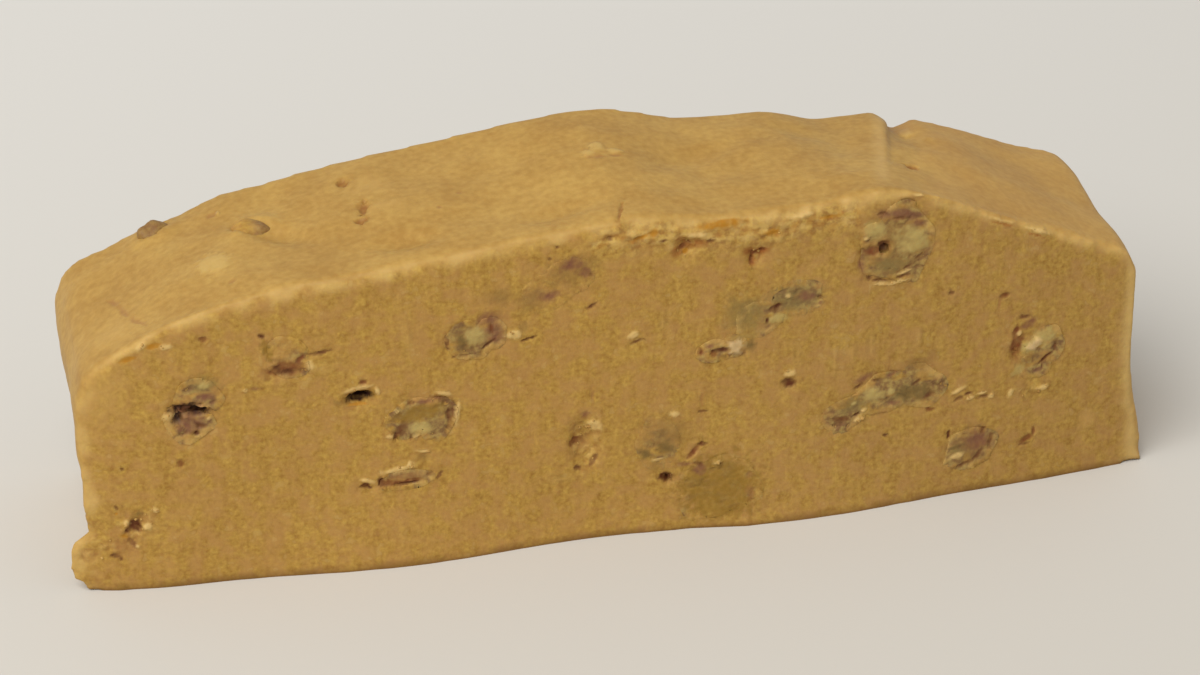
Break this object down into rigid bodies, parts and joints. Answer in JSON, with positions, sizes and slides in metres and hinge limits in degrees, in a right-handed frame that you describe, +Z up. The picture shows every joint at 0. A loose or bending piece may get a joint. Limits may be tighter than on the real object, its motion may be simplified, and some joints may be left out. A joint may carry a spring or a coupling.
{
  "type": "penuche fudge slice",
  "caption": "Slice of brown-sugar fudge cut from a hand-formed loaf, with a domed smooth top, flat cut faces and walnut pieces showing in the cuts.",
  "frame": {"origin": "on the foot of the slice, under the middle of its box", "axes": "+X along the length of the slice to the right as seen from the front cut, +Y from the front cut to the back cut, +Z up"},
  "size_m": [0.1516, 0.0358, 0.0486],
  "materials": {
    "fudge": "satin tan brown-sugar fudge, fine grained where cut",
    "walnut": "matt walnut kernel with a brown skin"
  },
  "bodies": {
    "root": {"fudge": "fudge", "walnut_front_01": "walnut", "walnut_front_02": "walnut", "walnut_front_03": "walnut", "walnut_front_04": "walnut", "walnut_front_05": "walnut", "walnut_front_06": "walnut", "walnut_front_07": "walnut", "walnut_front_08": "walnut", "walnut_front_09": "walnut", "walnut_front_10": "walnut", "walnut_front_11": "walnut", "walnut_front_12": "walnut", "walnut_front_13": "walnut", "walnut_front_14": "walnut", "walnut_back_01": "walnut", "walnut_back_02": "walnut", "walnut_back_03": "walnut", "walnut_back_04": "walnut", "walnut_back_05": "walnut", "walnut_back_06": "walnut", "walnut_back_07": "walnut", "walnut_back_08": "walnut", "walnut_back_09": "walnut", "walnut_top_01": "walnut", "walnut_top_02": "walnut"}
  },
  "joints": []
}
